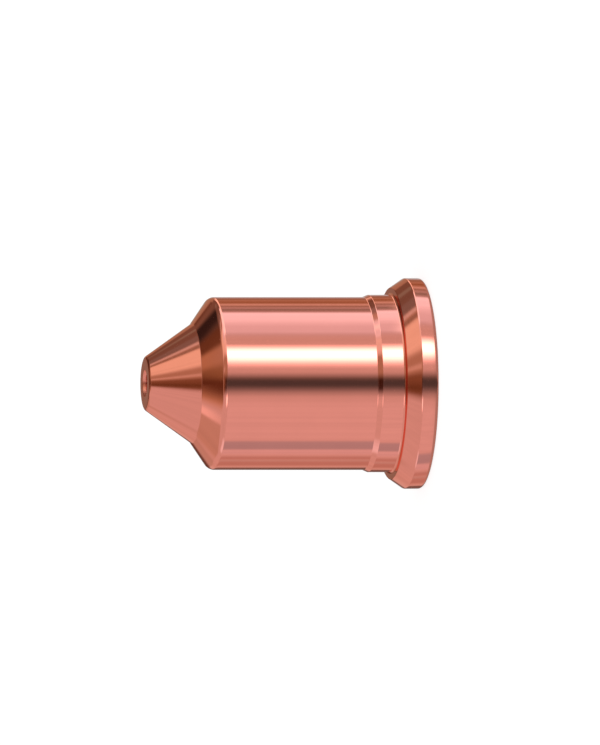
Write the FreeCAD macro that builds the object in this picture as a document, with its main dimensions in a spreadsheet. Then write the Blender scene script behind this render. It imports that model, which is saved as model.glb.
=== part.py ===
"""Nozzle of an air plasma cutting torch, turned from one bar of copper.

The nozzle stands on its flange with its axis on Z and its nose up. The origin is the centre of the flange's
rear face. From the flange to the tip the outside is a bevelled flange, a locating land, a small conical step,
the cylindrical body, a rounded shoulder cone and a long nose cone with a flat tip. Inside, a seat for the
swirl ring opens at the rear and leads into the electrode chamber, whose cone narrows to the arc's throat. The
throat opens to the tip through a flared mouth. All lengths are in millimetres and all angles in degrees.
"""

import math
import os

import FreeCAD
import Part
import Sketcher

# Driving dimensions, each with the alias that the expressions below use.
SIZES = {
    # Outside, from the tip down
    "overall_length": 25.25,
    "tip_diameter": 4.8,
    "nose_half_angle": 35.0,
    "nose_base_diameter": 10.8,
    "shoulder_half_angle": 55.0,
    "body_diameter": 15.6,
    "step_height": 0.46,
    "land_step": 0.2,
    "land_height": 2.09,
    "flange_flat_share": 0.43,
    "flange_bevel_angle": 34.0,
    "flange_height": 2.74,
    "flange_diameter": 19.0,
    # Outside edges, as the turning tool leaves them
    "tip_edge_radius": 0.34,
    "nose_base_radius": 0.3,
    "shoulder_radius": 0.67,
    "flange_corner_share": 0.34,
    "flange_bevel_radius": 0.16,
    "flange_rear_radius": 0.3,
    # Inside, from the tip down
    "mouth_diameter": 2.4,
    "mouth_depth": 2.6,
    "throat_diameter": 1.5,
    "throat_length": 2.0,
    "chamber_half_angle": 45.0,
    "chamber_diameter": 11.4,
    "chamber_corner_radius": 0.9,
    "seat_diameter": 13.2,
    "seat_depth": 4.2,
    "seat_chamfer": 0.4,
}

# Heights and radii that follow from the driving dimensions
NOSE_BASE_HEIGHT = (
    "Sizes.overall_length - (Sizes.nose_base_diameter - Sizes.tip_diameter) / 2"
    " / tan(Sizes.nose_half_angle * 1deg)"
)
SHOULDER_HEIGHT = (
    f"{NOSE_BASE_HEIGHT} - (Sizes.body_diameter - Sizes.nose_base_diameter) / 2"
    " / tan(Sizes.shoulder_half_angle * 1deg)"
)
LAND_RADIUS = "(Sizes.body_diameter / 2 + Sizes.land_step)"
LAND_TOP = "Sizes.flange_height + Sizes.land_height"
FLANGE_STEP = f"(Sizes.flange_diameter / 2 - {LAND_RADIUS})"
FLANGE_FLAT = f"{FLANGE_STEP} * Sizes.flange_flat_share"
FLANGE_CORNER = f"{FLANGE_FLAT} * Sizes.flange_corner_share"
RIM_HEIGHT = (
    f"Sizes.flange_height - {FLANGE_STEP} * (1 - Sizes.flange_flat_share)"
    " / tan(Sizes.flange_bevel_angle * 1deg)"
)
THROAT_TOP = "Sizes.overall_length - Sizes.mouth_depth"
THROAT_FOOT = f"{THROAT_TOP} - Sizes.throat_length"
CHAMBER_TOP = (
    f"{THROAT_FOOT} - (Sizes.chamber_diameter - Sizes.throat_diameter) / 2"
    " / tan(Sizes.chamber_half_angle * 1deg)"
)

# Each outline is half of a section through the axis: the name, radius and height of each sharp corner, and
# the radius that rounds it, if one does. The corners run counter-clockwise round the section.
OUTSIDE = [
    ("rear_centre", "0", "0", None),
    ("rim_rear", "Sizes.flange_diameter / 2", "0", "Sizes.flange_rear_radius"),
    ("rim_front", "Sizes.flange_diameter / 2", RIM_HEIGHT, "Sizes.flange_bevel_radius"),
    ("flat_edge", f"{LAND_RADIUS} + {FLANGE_FLAT}", "Sizes.flange_height", None),
    ("land_foot", LAND_RADIUS, "Sizes.flange_height", FLANGE_CORNER),
    ("land_top", LAND_RADIUS, LAND_TOP, None),
    ("body_foot", "Sizes.body_diameter / 2", f"{LAND_TOP} + Sizes.step_height", None),
    ("shoulder", "Sizes.body_diameter / 2", SHOULDER_HEIGHT, "Sizes.shoulder_radius"),
    ("nose_base", "Sizes.nose_base_diameter / 2", NOSE_BASE_HEIGHT, "Sizes.nose_base_radius"),
    ("tip", "Sizes.tip_diameter / 2", "Sizes.overall_length", "Sizes.tip_edge_radius"),
    ("tip_centre", "0", "Sizes.overall_length", None),
]
INSIDE = [
    ("open_centre", "0", "0", None),
    ("seat_mouth", "Sizes.seat_diameter / 2 + Sizes.seat_chamfer", "0", None),
    ("seat_wall", "Sizes.seat_diameter / 2", "Sizes.seat_chamfer", None),
    ("seat_floor", "Sizes.seat_diameter / 2", "Sizes.seat_depth", None),
    ("chamber_foot", "Sizes.chamber_diameter / 2", "Sizes.seat_depth", None),
    ("chamber_top", "Sizes.chamber_diameter / 2", CHAMBER_TOP, "Sizes.chamber_corner_radius"),
    ("throat_foot", "Sizes.throat_diameter / 2", THROAT_FOOT, None),
    ("throat_top", "Sizes.throat_diameter / 2", THROAT_TOP, None),
    ("mouth", "Sizes.mouth_diameter / 2", "Sizes.overall_length", None),
    ("mouth_centre", "0", "Sizes.overall_length", None),
]


def make_sheet(document):
    """The spreadsheet that holds the driving dimensions."""
    sheet = document.addObject("Spreadsheet::Sheet", "Sizes")
    for row, (alias, value) in enumerate(SIZES.items(), start=1):
        sheet.set(f"A{row}", alias)
        sheet.set(f"B{row}", str(value))
        sheet.setAlias(f"B{row}", alias)
    document.recompute()
    return sheet


def number(sheet, expression):
    """The present value of an expression, as a plain number."""
    found = sheet.evalExpression(expression.replace("Sizes.", ""))
    return float(getattr(found, "Value", found))


def origin_plane(body, role):
    """One of the body's own origin planes."""
    return next(item for item in body.Origin.OriginFeatures if item.Role == role)


def start_of(edge):
    """The first point of a sketched line or arc, or a mark itself, as a constraint names it."""
    return edge, 1


def end_of(edge):
    """The last point of a sketched line or arc, as a constraint names it."""
    return edge, 2


def limit(sketch, kind, *places):
    """Adds a constraint to a sketch and returns its number."""
    return sketch.addConstraint(Sketcher.Constraint(kind, *places))


def half_section(body, sheet, name, outline):
    """A closed sketch on the XZ plane, with each corner bound to the sheet and rounded by its own radius."""
    sketch = body.newObject("Sketcher::SketchObject", name)
    sketch.AttachmentSupport = (origin_plane(body, "XZ_Plane"), [""])
    sketch.MapMode = "FlatFace"
    points = [
        FreeCAD.Vector(number(sheet, radius), number(sheet, height), 0)
        for _, radius, height, _ in outline
    ]
    count = len(outline)
    for index in range(count):
        sketch.addGeometry(Part.LineSegment(points[index], points[(index + 1) % count]))
    for index, (corner, radius, height, rounding) in enumerate(outline):
        before, after = (index - 1) % count, index
        if rounding is None:
            limit(sketch, "Coincident", *end_of(before), *start_of(after))
            bind_corner(sketch, after, corner, radius, height)
        else:
            around = points[before], points[index], points[(index + 1) % count]
            size = number(sheet, rounding)
            arc, mark = round_corner(sketch, size, before, after, around)
            bind_size(sketch, f"{corner}_rounding", limit(sketch, "Radius", arc, size), rounding)
            bind_corner(sketch, mark, corner, radius, height)
    return sketch


def round_corner(sketch, size, before, after, around):
    """Joins two lines by a tangent arc, with a mark where they would meet. Returns the arc and the mark."""
    previous, apex, following = around
    inward, outward = (previous - apex).normalize(), (following - apex).normalize()
    half_angle = inward.getAngle(outward) / 2
    centre = apex + (inward + outward).normalize() * (size / math.sin(half_angle))
    reach = size / math.tan(half_angle)
    sides = [apex + inward * reach, apex + outward * reach]
    turns_left = (apex - previous).cross(following - apex).z > 0
    if not turns_left:
        sides.reverse()
    first_angle, last_angle = (math.atan2(side.y - centre.y, side.x - centre.x) for side in sides)
    circle = Part.Circle(centre, FreeCAD.Vector(0, 0, 1), size)
    arc = sketch.addGeometry(Part.ArcOfCircle(circle, first_angle, last_angle))
    entry, leave = (start_of, end_of) if turns_left else (end_of, start_of)
    limit(sketch, "Tangent", *end_of(before), *entry(arc))
    limit(sketch, "Tangent", *leave(arc), *start_of(after))
    mark = sketch.addGeometry(Part.Point(apex), True)
    limit(sketch, "PointOnObject", *start_of(mark), before)
    limit(sketch, "PointOnObject", *start_of(mark), after)
    return arc, mark


def bind_corner(sketch, edge, corner, radius, height):
    """Holds the start of a line, or a mark, at its radius and height above the origin."""
    axis_along_x, axis_along_y = -1, -2
    origin = start_of(axis_along_x)
    place = sketch.getPoint(*start_of(edge))
    if radius == "0":
        limit(sketch, "PointOnObject", *start_of(edge), axis_along_y)
    else:
        distance = limit(sketch, "DistanceX", *origin, *start_of(edge), place.x)
        bind_size(sketch, f"{corner}_radius", distance, radius)
    if height == "0":
        limit(sketch, "PointOnObject", *start_of(edge), axis_along_x)
    else:
        distance = limit(sketch, "DistanceY", *origin, *start_of(edge), place.y)
        bind_size(sketch, f"{corner}_height", distance, height)


def bind_size(sketch, name, constraint, expression):
    """Names a constraint and lets its value follow an expression."""
    sketch.renameConstraint(constraint, name)
    sketch.setExpression(f"Constraints.{name}", expression)


def turn(body, kind, name, sketch):
    """A full turn of a half section about the nozzle's axis, added or cut."""
    feature = body.newObject(kind, name)
    feature.Profile = sketch
    feature.ReferenceAxis = (sketch, ["V_Axis"])
    feature.Angle = 360.0
    sketch.Visibility = False
    return feature


def make_nozzle(document, sheet):
    """The nozzle: a turned blank, then bored from the rear."""
    body = document.addObject("PartDesign::Body", "Nozzle")
    body.Label = "nozzle"
    outside = half_section(body, sheet, "OutsideSection", OUTSIDE)
    blank = turn(body, "PartDesign::Revolution", "TurnedBlank", outside)
    document.recompute()
    blank_volume = blank.Shape.Volume
    inside = half_section(body, sheet, "InsideSection", INSIDE)
    bored = turn(body, "PartDesign::Groove", "BoredInside", inside)
    document.recompute()
    if not bored.Shape.Volume < blank_volume:
        raise RuntimeError("the bore cut nothing")
    return body


def check(document, pieces):
    """Stops before anything is written if a feature failed or a piece isn't one sound solid."""
    for item in document.Objects:
        if "Invalid" in item.State or "Error" in item.State:
            raise RuntimeError(f"{item.Name} failed: {item.State}")
    for piece in pieces:
        if piece.Shape.isNull() or not piece.Shape.isValid() or len(piece.Shape.Solids) != 1:
            raise RuntimeError(f"{piece.Label} isn't one valid solid")


def main():
    document = FreeCAD.newDocument("plasma_nozzle")
    sheet = make_sheet(document)
    pieces = [make_nozzle(document, sheet)]
    document.recompute()
    check(document, pieces)
    os.makedirs("parts", exist_ok=True)
    for piece in pieces:
        piece.Shape.exportStep(f"parts/{piece.Label}.step")
        box = piece.Shape.BoundBox
        print(
            f"{piece.Label}: {piece.Shape.Volume:.2f} mm3,"
            f" {box.XLength:.3f} x {box.YLength:.3f} x {box.ZLength:.3f} mm"
        )


main()
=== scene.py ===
"""Looks of the plasma torch nozzle: turned and polished copper, in a light tent, seen from its side.

The nozzle stands on its flange with its nose up the Z axis. The camera lies on its side, so the nose points
to the left of the picture. Lengths are in metres unless a name says mm, and angles are in degrees.
"""

import math

import bmesh
import bpy
from mathutils import Matrix, Vector


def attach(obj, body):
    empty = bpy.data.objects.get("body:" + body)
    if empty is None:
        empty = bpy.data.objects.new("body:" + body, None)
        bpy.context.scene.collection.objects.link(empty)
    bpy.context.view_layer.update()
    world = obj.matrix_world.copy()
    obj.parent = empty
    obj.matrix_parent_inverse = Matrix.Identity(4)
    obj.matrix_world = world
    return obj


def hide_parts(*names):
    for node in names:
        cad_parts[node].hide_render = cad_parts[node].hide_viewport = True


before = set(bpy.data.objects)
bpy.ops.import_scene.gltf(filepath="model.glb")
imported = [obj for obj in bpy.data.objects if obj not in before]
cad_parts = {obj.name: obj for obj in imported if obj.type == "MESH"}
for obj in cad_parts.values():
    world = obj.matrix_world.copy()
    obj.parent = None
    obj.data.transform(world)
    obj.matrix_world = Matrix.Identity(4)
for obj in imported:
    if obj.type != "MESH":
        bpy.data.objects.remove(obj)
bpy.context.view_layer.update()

MM_PER_METRE = 1000

# The picture
PICTURE_HEIGHT_PX = 745
MM_PER_PX = 0.09015
CAMERA_TILT = 10.27  # the nose is turned this far towards the camera
CAMERA_AIM_MM = (0.99, -2.49, 11.48)  # the point at the picture's centre
CAMERA_DISTANCE = 0.25
CLIP_NEAR = 0.01
CLIP_FAR = 10

# The nozzle, in millimetres, from the rear face up
FLANGE_RADIUS_MM = 9.5
RIM_TOP_MM = 1.495
FLAT_RADIUS_MM = 8.645
FLANGE_TOP_MM = 2.74
LAND_RADIUS_MM = 8.0
LAND_TOP_MM = 4.83
BODY_RADIUS_MM = 7.8
BODY_FOOT_MM = 5.29
SHOULDER_MM = 19.285
NOSE_BASE_RADIUS_MM = 5.4
NOSE_BASE_MM = 20.966
TIP_RADIUS_MM = 2.4
TIP_MM = 25.25
MOUTH_RADIUS_MM = 1.2
LIP_RADIUS_MM = 1.02
LIP_FOOT_MM = 25.0
THROAT_RADIUS_MM = 0.75
THROAT_TOP_MM = 22.65
THROAT_FOOT_MM = 20.65
CHAMBER_RADIUS_MM = 5.7
CHAMBER_TOP_MM = 15.7
SEAT_RADIUS_MM = 6.6
SEAT_FLOOR_MM = 4.2
SEAT_CHAMFER_MM = 0.4

# Each corner of the half section: radius, height and the rounding of its edge, all in millimetres
OUTSIDE_MM = [
    (FLANGE_RADIUS_MM, 0.0, 0.3),
    (FLANGE_RADIUS_MM, RIM_TOP_MM, 0.3),
    (FLAT_RADIUS_MM, FLANGE_TOP_MM, 0.1),
    (LAND_RADIUS_MM, FLANGE_TOP_MM, 0.22),
    (LAND_RADIUS_MM, LAND_TOP_MM, 0.16),
    (BODY_RADIUS_MM, BODY_FOOT_MM, 0.16),
    (BODY_RADIUS_MM, SHOULDER_MM, 0.67),
    (NOSE_BASE_RADIUS_MM, NOSE_BASE_MM, 0.3),
    (TIP_RADIUS_MM, TIP_MM, 0.34),
]
INSIDE_MM = [
    (MOUTH_RADIUS_MM, TIP_MM, 0.06),
    (LIP_RADIUS_MM, LIP_FOOT_MM, 0.12),
    (THROAT_RADIUS_MM, THROAT_TOP_MM, 0.2),
    (THROAT_RADIUS_MM, THROAT_FOOT_MM, 0.2),
    (CHAMBER_RADIUS_MM, CHAMBER_TOP_MM, 0.9),
    (CHAMBER_RADIUS_MM, SEAT_FLOOR_MM, 0.05),
    (SEAT_RADIUS_MM, SEAT_FLOOR_MM, 0.2),
    (SEAT_RADIUS_MM, SEAT_CHAMFER_MM, 0.05),
    (SEAT_RADIUS_MM + SEAT_CHAMFER_MM, 0.0, 0.05),
]
TURN_STEPS = 360
ROUNDING_STEPS = 6
MERGE_DISTANCE = 1e-7
REAR_ZONE = 0.001  # the seat's floor lies above this height, and the rear face below it

# The finishes, in the order of the nozzle's materials. Each has its colour, its roughness, the number of
# turning rings in a millimetre and their depth in metres. The bored inside is rougher, and its colour is
# darker than the copper's own as painted shade in the hollow.
# The mouth's lip is as bright as the outside, but satin.
POLISHED_COPPER = (0.93, 0.315, 0.245, 1.0)
# The inside's copper: its rougher finish is real, but its darker colour is painted shade for the bore, throat
# and seat
BORED_COPPER_PAINTED_SHADE = (0.66, 0.17, 0.12, 1.0)
COPPER_EDGE_TINT = (1.0, 0.72, 0.64, 1.0)
FINISHES = [
    ("polished_copper", POLISHED_COPPER, 0.09, 9.0, 2e-7),
    ("bored_copper_painted_shade", BORED_COPPER_PAINTED_SHADE, 0.34, 5.0, 2e-6),
    ("lip_copper", POLISHED_COPPER, 0.3, 5.0, 2e-6),
]
POLISHED, BORED, LIP = range(len(FINISHES))
RING_SLANT = 0.73  # how much of the radius is added to the height, so that flat faces have rings too
DRIFT_SCALE = 260.0  # patches of tone for each metre
DRIFT_DARKEST = 0.93
GLOSS_SPREAD = 0.15
NOISE_LOW = 0.3  # nearly all of a noise lies between these two
NOISE_HIGH = 0.7

# The light tent, painted on the inside of a dome that only reflections show. Azimuth 0 is the camera's side,
# 90 the picture's top and 180 behind the nozzle. Elevation is 0 at the horizon and 90 where the nose points.
# Each panel lies over the ones before it: its azimuths, its elevations, the slope of its top edge, the widths
# of its soft edges (low azimuth, high azimuth, bottom, top), its brightness and its colour.
TENT_RADIUS = 1.0
ROOM_COLOUR = (0.12, 0.055, 0.025, 1.0)
PANELS = [
    ("roof_glow_above", (50, 170), (54, 90), 0, (20, 50, 6, 6), 0.3, (1.0, 0.7, 0.34)),
    ("roof_lamp_above", (94, 158), (60, 79), 0, (20, 16, 7, 6), 0.5, (1.0, 0.74, 0.42)),
    ("roof_glow_below", (-172, -60), (64, 86), 0, (5, 20, 5, 14), 0.62, (1.0, 0.76, 0.46)),
    ("back_wall", (146, 214), (-90, 16), 0, (12, 12, 1, 6), 0.3, (1.0, 0.74, 0.6)),
    ("lower_board", (-167, 2), (-90, 78), 0, (7, 1, 1, 9), 0.72, (1.0, 0.99, 0.97)),
    ("lower_back_board", (-168, -116), (26, 66), 0, (8, 10, 8, 3), 0.6, (1.0, 0.92, 0.77)),
    ("lower_back_low", (-170, -148), (10, 40), 0, (2, 8, 5, 8), 0.58, (1.0, 0.97, 0.88)),
    ("lower_lamp", (-148, -118), (60, 71), 0, (8, 8, 3, 5), 1.03, (1.0, 0.97, 0.93)),
    ("lower_front", (-84, -16), (-90, 16), 0, (8, 14, 1, 14), 0.79, (1.0, 1.0, 1.01)),
    ("lower_window", (-110, -78), (0, 28), 0, (8, 8, 6, 10), 1.15, (0.86, 1.0, 1.1)),
    ("lower_bright_band", (-112, -96), (-90, 0), 0, (5, 5, 1, 4), 0.8, (0.97, 1.0, 1.06)),
    ("lower_dim_band", (-101, -81), (-90, 2), 0, (4, 5, 1, 5), 0.57, (0.88, 1.0, 1.12)),
    ("lower_edge_band", (-149, -111), (-90, 6), 0, (10, 8, 1, 8), 0.58, (1.0, 0.85, 0.79)),
    ("lower_edge_streak", (-130, -121), (-90, 4), 0, (2.5, 2.5, 1, 6), 0.62, (1.0, 1.0, 0.97)),
    ("lower_edge_dim", (-178, -149), (-90, 0), 0, (4, 7, 1, 5), 0.2, (1.0, 0.88, 0.8)),
    ("lower_glint", (-35, -12), (12, 33), 0, (9, 8, 7, 7), 2.2, (1.0, 1.0, 1.0)),
    ("upper_board", (0, 128), (-90, 84), 0, (1, 12, 1, 14), 0.47, (1.0, 0.82, 0.57)),
    ("upper_low_board", (2, 72), (-90, 22), 0, (10, 10, 1, 14), 0.69, (1.0, 0.99, 0.95)),
    ("upper_mid_window", (36, 92), (2, 46), 0, (12, 10, 8, 12), 1.0, (0.98, 1.0, 0.92)),
    ("upper_slit", (20, 33), (42, 76), 0, (4, 7, 8, 8), 0.7, (1.0, 0.93, 0.76)),
    ("upper_warm_window", (40, 93), (32, 66), -0.2, (16, 5, 8, 10), 0.96, (1.0, 1.0, 0.8)),
    ("strip_glow", (16, 50), (-90, 18), 0, (10, 8, 1, 18), 0.96, (1.0, 1.0, 1.0)),
    ("strip_light", (22, 55), (-90, 18), 0, (18, 17, 1, 18), 5.0, (1.0, 1.0, 1.0)),
    ("upper_back_flag", (104, 162), (4, 60), 0, (8, 8, 5, 8), 0.21, (1.0, 0.82, 0.6)),
    ("softbox", (61, 113), (-90, 29), -0.85, (13, 4, 1, 6), 1.0, (0.87, 1.0, 1.14)),
    ("softbox_bright", (80, 113), (-90, 22), -0.85, (20, 4, 1, 7), 1.55, (0.8, 1.0, 1.16)),
    ("upper_back", (110, 160), (-90, 8), 0, (4, 9, 1, 7), 0.45, (1.0, 0.8, 0.55)),
    ("upper_back_near", (108, 134), (-90, 8), 0, (4, 12, 1, 7), 0.5, (1.0, 1.0, 0.94)),
    ("upper_back_streak_0", (147.5, 157), (-90, 2), 0, (2.5, 2.5, 1, 4), 0.36, (1.0, 0.8, 0.54)),
    ("upper_back_streak_1", (136.5, 143), (-90, 2), 0, (2, 2, 1, 4), 0.32, (1.08, 0.72, 0.36)),
    ("upper_back_streak_2", (127, 134.2), (-90, 2), 0, (2, 2.5, 1, 4), 0.7, (0.98, 0.95, 0.82)),
    ("upper_back_streak_3", (123, 128), (-90, 2), 0, (2, 2, 1, 4), 0.34, (1.08, 0.95, 0.75)),
    ("upper_back_streak_4", (112.6, 119.6), (-90, 2), 0, (2, 2, 1, 4), 0.34, (0.96, 1.0, 0.88)),
    ("edge_window", (66, 122), (-6, 21.5), -0.3, (8, 5, 4, 5), 1.7, (0.82, 1.0, 1.06)),
    ("edge_window_above", (77, 91), (10, 29), -0.9, (6, 6, 4, 5), 1.55, (0.85, 1.0, 1.04)),
    ("upper_back_line", (130.5, 140), (13, 26), 0, (3.5, 3.5, 3, 4), 0.33, (0.84, 1.0, 0.8)),
    ("upper_gap", (90.5, 99), (32, 50), 0, (3.5, 3, 5, 5), 0.3, (1.05, 0.92, 0.66)),
    ("upper_back_haze", (104, 122), (22, 44), 0, (3, 5, 4, 6), 0.24, (1.0, 1.0, 0.86)),
    ("upper_thin_light", (98.5, 108), (28, 56), 0, (3, 5, 6, 8), 0.74, (0.94, 1.0, 0.92)),
    ("upper_back_warm", (114, 168), (44, 66), 0, (8, 8, 8, 6), 0.14, (1.1, 0.62, 0.3)),
    ("upper_back_corner", (128, 160), (26, 56), 0, (12, 10, 8, 10), 0.035, (1.0, 0.8, 0.7)),
    ("horizon_window", (112, 166), (-7, 5), 0, (4, 10, 3, 5), 1.6, (0.92, 1.0, 0.9)),
    ("under_table", (-180, 180), (-91, -14), 0, (0.1, 0.1, 0.1, 10), 0.48, (1.0, 1.02, 0.97)),
    ("camera_gap", (-21, 17), (-90, 34), 0, (20, 14.5, 1, 8), 0.083, (1.0, 1.12, 1.1)),
    ("camera_gap_middle", (-22, 18), (26, 54), 0, (16, 14, 8, 8), 0.035, (1.2, 0.45, 0.2)),
    ("camera_gap_above", (-30, 22), (46, 76), 0, (18, 12, 8, 8), 0.18, (1.3, 0.78, 0.4)),
    ("camera_gap_core", (-22, 8), (46, 76), 0, (16, 16, 8, 8), 0.12, (1.3, 0.7, 0.3)),
    ("roof_front", (-70, 70), (67, 80), 0, (20, 20, 4, 4), 0.45, (1.0, 0.86, 0.62)),
    ("back_core", (160, 197), (-46, 12), 0, (8, 6, 8, 5), 0.14, (1.0, 0.55, 0.4)),
    ("upper_back_lining", (149, 177), (-5, 17.5), 0, (4, 4, 3, 5.5), 0.41, (1.04, 0.92, 0.66)),
    ("back_patch", (170, 190), (4, 20), 0, (5, 5, 4, 4), 0.29, (1.06, 0.98, 0.8)),
    ("horizon_back", (156, 197), (-22, 0), 0, (8, 16, 5, 6), 0.68, (0.85, 1.1, 1.15)),
]
FOLDS = 0.05  # how much the folds in the tent's cloth lighten or darken it
FOLDS_ACROSS = 0.25  # folds for each degree of azimuth
FOLDS_UP = 0.04  # and of elevation, so that they run up and down

# The room
ROOM_LIGHT = 0.8
FLOOR_DROP = 0.00002  # keeps the floor just clear of the rear face
FLOOR_HALF_SIDE = 1.5
FLOOR_GREY = 0.35  # what the floor gives back of the room's light, with the nozzle's shadow in it
FLOOR_GLOW = 0.78  # what the camera sees besides, so that the floor looks white


def add_piece(name, mesh_work):
    """An object at the origin that holds a finished bmesh."""
    mesh = bpy.data.meshes.new(name)
    mesh_work.to_mesh(mesh)
    mesh_work.free()
    piece = bpy.data.objects.new(name, mesh)
    bpy.context.scene.collection.objects.link(piece)
    return piece


def round_corner(work, corner, rounding, edges):
    """Replaces one corner of a wire outline by an arc."""
    ends = [(edge.other_vert(corner).co - corner.co).normalized() for edge in edges]
    half_angle = ends[0].angle(ends[1]) / 2
    bmesh.ops.bevel(
        work, geom=[corner], offset=rounding / math.tan(half_angle), offset_type="OFFSET",
        segments=ROUNDING_STEPS, profile=0.5, affect="VERTICES", material=-1, clamp_overlap=False,
    )


def half_section(work, outline_mm):
    """The closed wire outline of the wall's section in the XZ plane, with its corners rounded."""
    corners = [
        work.verts.new((radius / MM_PER_METRE, 0, height / MM_PER_METRE))
        for radius, height, _ in outline_mm
    ]
    work.faces.new(corners)
    for corner, (_, _, rounding) in zip(corners, outline_mm):
        round_corner(work, corner, rounding / MM_PER_METRE, list(corner.link_edges))
    bmesh.ops.delete(work, geom=list(work.faces), context="FACES_KEEP_BOUNDARY")


def finish_of(face):
    """Which finish a face of the nozzle has."""
    middle = face.calc_center_median()
    looks_inward = face.normal.x * middle.x + face.normal.y * middle.y < 0
    on_seat_floor = face.normal.z < -0.5 and middle.z > REAR_ZONE
    if looks_inward and middle.z > LIP_FOOT_MM / MM_PER_METRE:
        return LIP
    return BORED if looks_inward or on_seat_floor else POLISHED


def turn_nozzle():
    """The nozzle as one closed skin, turned about Z from its half section."""
    work = bmesh.new()
    half_section(work, OUTSIDE_MM + INSIDE_MM)
    bmesh.ops.spin(
        work, geom=list(work.verts) + list(work.edges), cent=(0, 0, 0), axis=(0, 0, 1),
        angle=math.tau, steps=TURN_STEPS, use_merge=True,
    )
    bmesh.ops.remove_doubles(work, verts=list(work.verts), dist=MERGE_DISTANCE)
    bmesh.ops.recalc_face_normals(work, faces=list(work.faces))
    for face in work.faces:
        face.smooth = True
        face.material_index = finish_of(face)
    nozzle = add_piece("turned_nozzle", work)
    shading = nozzle.modifiers.new("even_shading", "WEIGHTED_NORMAL")
    shading.mode = "FACE_AREA"
    shading.weight = 50
    return nozzle


def node(tree, kind, inputs=None, **settings):
    """A new node, with its settings and the values or links of its inputs."""
    made = tree.nodes.new(kind)
    for name, value in settings.items():
        setattr(made, name, value)
    for name, value in (inputs or {}).items():
        if isinstance(value, bpy.types.NodeSocket):
            tree.links.new(value, made.inputs[name])
        else:
            made.inputs[name].default_value = value
    return made


def turning_marks_group():
    """Rings that a turning tool leaves, finer and coarser, and a slow drift for the tone."""
    group = bpy.data.node_groups.new("turning_marks", "ShaderNodeTree")
    sockets = group.interface
    sockets.new_socket("Rings per mm", in_out="INPUT", socket_type="NodeSocketFloat")
    for name in ("Rings", "Drift"):
        sockets.new_socket(name, in_out="OUTPUT", socket_type="NodeSocketFloat")
    given = node(group, "NodeGroupInput")
    place = node(group, "ShaderNodeTexCoord")
    split = node(group, "ShaderNodeSeparateXYZ", {0: place.outputs["Object"]})
    flat = node(group, "ShaderNodeCombineXYZ", {0: split.outputs[0], 1: split.outputs[1]})
    radius = node(group, "ShaderNodeVectorMath", {0: flat.outputs[0]}, operation="LENGTH")
    slanted = node(
        group, "ShaderNodeMath", {0: radius.outputs["Value"], 1: RING_SLANT, 2: split.outputs[2]},
        operation="MULTIPLY_ADD",
    )
    per_metre = node(
        group, "ShaderNodeMath", {0: given.outputs[0], 1: MM_PER_METRE}, operation="MULTIPLY",
    )
    turns = node(
        group, "ShaderNodeMath", {0: slanted.outputs[0], 1: per_metre.outputs[0]}, operation="MULTIPLY",
    )
    rings = node(
        group, "ShaderNodeTexNoise", {"W": turns.outputs[0], "Scale": 1.0, "Detail": 3.0, "Roughness": 0.6},
        noise_dimensions="1D",
    )
    drift = node(
        group, "ShaderNodeTexNoise",
        {"Vector": place.outputs["Object"], "Scale": DRIFT_SCALE, "Detail": 3.0, "Roughness": 0.55},
        noise_dimensions="3D",
    )
    put = node(group, "NodeGroupOutput")
    group.links.new(rings.outputs[0], put.inputs["Rings"])
    group.links.new(drift.outputs[0], put.inputs["Drift"])
    return group


def copper(marks_group, name, colour, roughness, rings_per_mm, ring_depth):
    """Copper with turning marks, a slight drift of tone and a roughness that follows the rings."""
    material = bpy.data.materials.new(name)
    material.use_nodes = True
    tree = material.node_tree
    shader = tree.nodes["Principled BSDF"]
    shader.inputs["Metallic"].default_value = 1.0
    shader.inputs["Specular Tint"].default_value = COPPER_EDGE_TINT
    marks = node(tree, "ShaderNodeGroup", {"Rings per mm": rings_per_mm}, node_tree=marks_group)
    darker = [channel * DRIFT_DARKEST for channel in colour[:3]] + [1.0]
    tone = node(
        tree, "ShaderNodeMix", {0: marks.outputs["Drift"], 6: darker, 7: list(colour)}, data_type="RGBA",
    )
    gloss = node(
        tree, "ShaderNodeMapRange",
        {"Value": marks.outputs["Rings"], "From Min": NOISE_LOW, "From Max": NOISE_HIGH,
         "To Min": roughness * (1 - GLOSS_SPREAD), "To Max": roughness * (1 + GLOSS_SPREAD)},
    )
    bump = node(
        tree, "ShaderNodeBump",
        {"Height": marks.outputs["Rings"], "Strength": 1.0, "Distance": ring_depth},
    )
    tree.links.new(tone.outputs[2], shader.inputs["Base Color"])
    tree.links.new(gloss.outputs[0], shader.inputs["Roughness"])
    tree.links.new(bump.outputs[0], shader.inputs["Normal"])
    return material


def compass_group():
    """The azimuth and elevation, in degrees, of a point of the dome as the nozzle sees it."""
    group = bpy.data.node_groups.new("compass", "ShaderNodeTree")
    for name in ("Azimuth", "Elevation"):
        group.interface.new_socket(name, in_out="OUTPUT", socket_type="NodeSocketFloat")
    place = node(group, "ShaderNodeTexCoord")
    split = node(group, "ShaderNodeSeparateXYZ", {0: place.outputs["Object"]})
    front = node(group, "ShaderNodeMath", {0: split.outputs[1], 1: -1.0}, operation="MULTIPLY")
    azimuth = node(
        group, "ShaderNodeMath", {0: split.outputs[0], 1: front.outputs[0]}, operation="ARCTAN2",
    )
    level = node(group, "ShaderNodeCombineXYZ", {0: split.outputs[0], 1: split.outputs[1]})
    reach = node(group, "ShaderNodeVectorMath", {0: level.outputs[0]}, operation="LENGTH")
    elevation = node(
        group, "ShaderNodeMath", {0: split.outputs[2], 1: reach.outputs["Value"]}, operation="ARCTAN2",
    )
    put = node(group, "NodeGroupOutput")
    for name, angle in (("Azimuth", azimuth), ("Elevation", elevation)):
        degrees = node(group, "ShaderNodeMath", {0: angle.outputs[0]}, operation="DEGREES")
        group.links.new(degrees.outputs[0], put.inputs[name])
    return group


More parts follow.
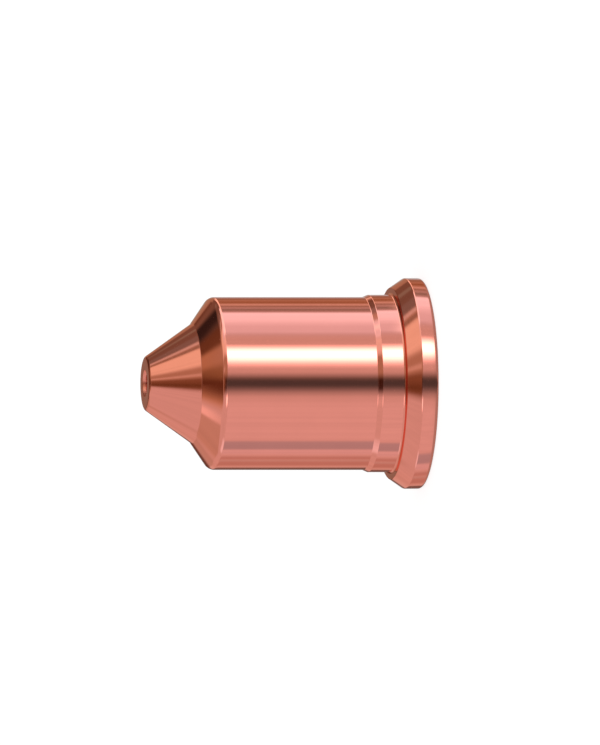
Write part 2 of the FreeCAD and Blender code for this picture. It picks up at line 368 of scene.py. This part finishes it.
def panel_group():
    """Lays one soft-edged panel over the colour behind it."""
    group = bpy.data.node_groups.new("tent_panel", "ShaderNodeTree")
    sockets = group.interface
    sockets.new_socket("Behind", in_out="INPUT", socket_type="NodeSocketColor")
    sockets.new_socket("Colour", in_out="INPUT", socket_type="NodeSocketColor")
    for name in ("Azimuth", "Elevation", "Brightness", "Centre", "Half width", "Bottom", "Top", "Slope",
                 "Low azimuth edge", "High azimuth edge", "Bottom edge", "Top edge"):
        sockets.new_socket(name, in_out="INPUT", socket_type="NodeSocketFloat")
    sockets.new_socket("Colour", in_out="OUTPUT", socket_type="NodeSocketColor")
    given = node(group, "NodeGroupInput").outputs

    def result_of(operation, first, second, third=0.0):
        made = node(group, "ShaderNodeMath", {0: first, 1: second, 2: third}, operation=operation)
        return made.outputs[0]

    away = result_of("SUBTRACT", given["Azimuth"], given["Centre"])
    away = result_of("WRAP", away, 180.0, -180.0)
    top = result_of("MULTIPLY_ADD", away, given["Slope"], given["Top"])
    depths = (
        (result_of("ADD", given["Half width"], away), given["Low azimuth edge"]),
        (result_of("SUBTRACT", given["Half width"], away), given["High azimuth edge"]),
        (result_of("SUBTRACT", given["Elevation"], given["Bottom"]), given["Bottom edge"]),
        (result_of("SUBTRACT", top, given["Elevation"]), given["Top edge"]),
    )
    mask = 1.0
    for depth, edge in depths:
        soft = node(
            group, "ShaderNodeMapRange", {"Value": depth, "From Max": edge}, interpolation_type="SMOOTHSTEP",
        )
        mask = result_of("MULTIPLY", soft.outputs[0], mask)
    glow = node(
        group, "ShaderNodeVectorMath", {0: given["Colour"], "Scale": given["Brightness"]}, operation="SCALE",
    )
    over = node(
        group, "ShaderNodeMix", {0: mask, 6: given["Behind"], 7: glow.outputs[0]}, data_type="RGBA",
    )
    put = node(group, "NodeGroupOutput")
    group.links.new(over.outputs[2], put.inputs[0])
    return group


def make_tent():
    """The dome with its painted panels. It lights nothing by itself: only the metal's reflections show it."""
    work = bmesh.new()
    bmesh.ops.create_icosphere(work, subdivisions=3, radius=TENT_RADIUS)
    dome = add_piece("light_tent", work)
    material = bpy.data.materials.new("light_tent")
    material.use_nodes = True
    tree = material.node_tree
    tree.nodes.clear()
    compass = node(tree, "ShaderNodeGroup", node_tree=compass_group())
    panel_nodes = panel_group()
    behind = ROOM_COLOUR
    for name, azimuths, elevations, slope, edges, brightness, colour in PANELS:
        values = {
            "Behind": behind, "Colour": (*colour, 1.0), "Brightness": brightness,
            "Azimuth": compass.outputs["Azimuth"], "Elevation": compass.outputs["Elevation"],
            "Centre": (azimuths[0] + azimuths[1]) / 2, "Half width": (azimuths[1] - azimuths[0]) / 2,
            "Bottom": elevations[0], "Top": elevations[1], "Slope": slope,
            "Low azimuth edge": edges[0], "High azimuth edge": edges[1],
            "Bottom edge": edges[2], "Top edge": edges[3],
        }
        panel = node(tree, "ShaderNodeGroup", values, node_tree=panel_nodes, label=name)
        behind = panel.outputs[0]
    across = node(
        tree, "ShaderNodeMath", {0: compass.outputs["Azimuth"], 1: FOLDS_ACROSS}, operation="MULTIPLY",
    )
    up = node(
        tree, "ShaderNodeMath", {0: compass.outputs["Elevation"], 1: FOLDS_UP}, operation="MULTIPLY",
    )
    weave = node(tree, "ShaderNodeCombineXYZ", {0: across.outputs[0], 1: up.outputs[0]})
    folds = node(
        tree, "ShaderNodeTexNoise", {"Vector": weave.outputs[0], "Scale": 1.0, "Detail": 3.0},
        noise_dimensions="2D",
    )
    light = node(
        tree, "ShaderNodeMapRange",
        {"Value": folds.outputs[0], "From Min": NOISE_LOW, "From Max": NOISE_HIGH,
         "To Min": 1.0 - FOLDS, "To Max": 1.0 + FOLDS},
    )
    glow = node(tree, "ShaderNodeEmission", {"Color": behind, "Strength": light.outputs[0]})
    out = node(tree, "ShaderNodeOutputMaterial")
    tree.links.new(glow.outputs[0], out.inputs["Surface"])
    material.cycles.emission_sampling = "NONE"
    dome.data.materials.append(material)
    dome.visible_camera = False
    dome.visible_diffuse = False
    dome.visible_transmission = False
    dome.visible_volume_scatter = False
    dome.visible_shadow = False


def white_background(tree, extra_light):
    """White for the camera, for reflections and for glass, and a plain level of light for everything else.

    In the nozzle's reflections the tent hides it.
    """
    tree.nodes.clear()
    path = node(tree, "ShaderNodeLightPath")
    seen = node(
        tree, "ShaderNodeMath",
        {0: path.outputs["Is Camera Ray"], 1: path.outputs["Is Glossy Ray"]}, operation="MAXIMUM",
    )
    seen = node(
        tree, "ShaderNodeMath",
        {0: seen.outputs[0], 1: path.outputs["Is Transmission Ray"]}, operation="MAXIMUM",
    )
    level = node(
        tree, "ShaderNodeMapRange", {"Value": seen.outputs[0], "To Min": extra_light, "To Max": 1.0},
    )
    glow = node(tree, "ShaderNodeBackground", {"Color": (1, 1, 1, 1), "Strength": level.outputs[0]})
    out = node(tree, "ShaderNodeOutputWorld")
    tree.links.new(glow.outputs[0], out.inputs["Surface"])


def make_world():
    """The pale room around the nozzle."""
    world = bpy.data.worlds.new("pale_room")
    world.use_nodes = True
    white_background(world.node_tree, extra_light=ROOM_LIGHT)
    bpy.context.scene.world = world


def make_floor():
    """A pale floor that keeps the nozzle's soft shadow. The metal mirrors the tent in its place.

    It is clear from below, so that the nozzle's rear face can be looked at too.
    """
    work = bmesh.new()
    bmesh.ops.create_grid(work, x_segments=1, y_segments=1, size=FLOOR_HALF_SIDE)
    bmesh.ops.translate(work, verts=list(work.verts), vec=(0, 0, -FLOOR_DROP))
    floor = add_piece("floor", work)
    material = bpy.data.materials.new("pale_floor")
    material.use_nodes = True
    tree = material.node_tree
    tree.nodes.clear()
    path = node(tree, "ShaderNodeLightPath")
    grey = (FLOOR_GREY, FLOOR_GREY, FLOOR_GREY, 1.0)
    lit = node(tree, "ShaderNodeBsdfDiffuse", {"Color": grey})
    share = node(
        tree, "ShaderNodeMath", {0: path.outputs["Is Camera Ray"], 1: FLOOR_GLOW}, operation="MULTIPLY",
    )
    glow = node(tree, "ShaderNodeEmission", {"Color": (1, 1, 1, 1), "Strength": share.outputs[0]})
    both = node(tree, "ShaderNodeAddShader", {0: lit.outputs[0], 1: glow.outputs[0]})
    clear = node(tree, "ShaderNodeBsdfTransparent")
    side = node(tree, "ShaderNodeNewGeometry")
    one_sided = node(
        tree, "ShaderNodeMixShader",
        {0: side.outputs["Backfacing"], 1: both.outputs[0], 2: clear.outputs[0]},
    )
    out = node(tree, "ShaderNodeOutputMaterial")
    tree.links.new(one_sided.outputs[0], out.inputs["Surface"])
    floor.data.materials.append(material)
    floor.visible_glossy = False


def make_camera():
    """A parallel view from the side, turned so that the nose points left."""
    tilt = math.radians(CAMERA_TILT)
    right = Vector((0, -math.sin(tilt), -math.cos(tilt)))
    up = Vector((1, 0, 0))
    back = right.cross(up)
    data = bpy.data.cameras.new("camera")
    data.type = "ORTHO"
    data.ortho_scale = PICTURE_HEIGHT_PX * MM_PER_PX / MM_PER_METRE
    data.clip_start = CLIP_NEAR
    data.clip_end = CLIP_FAR
    camera = bpy.data.objects.new("camera", data)
    bpy.context.scene.collection.objects.link(camera)
    place = Vector(CAMERA_AIM_MM) / MM_PER_METRE + back * CAMERA_DISTANCE
    turn = Matrix((right, up, back)).transposed().to_4x4()
    camera.matrix_world = Matrix.Translation(place) @ turn
    bpy.context.scene.camera = camera


def make_nozzle():
    """The nozzle with its finishes, in the place of the solid."""
    marks = turning_marks_group()
    nozzle = turn_nozzle()
    for finish in FINISHES:
        nozzle.data.materials.append(copper(marks, *finish))
    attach(nozzle, "root")
    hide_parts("nozzle")


make_nozzle()
make_tent()
make_world()
make_floor()
make_camera()
bpy.context.scene.view_settings.view_transform = "Standard"
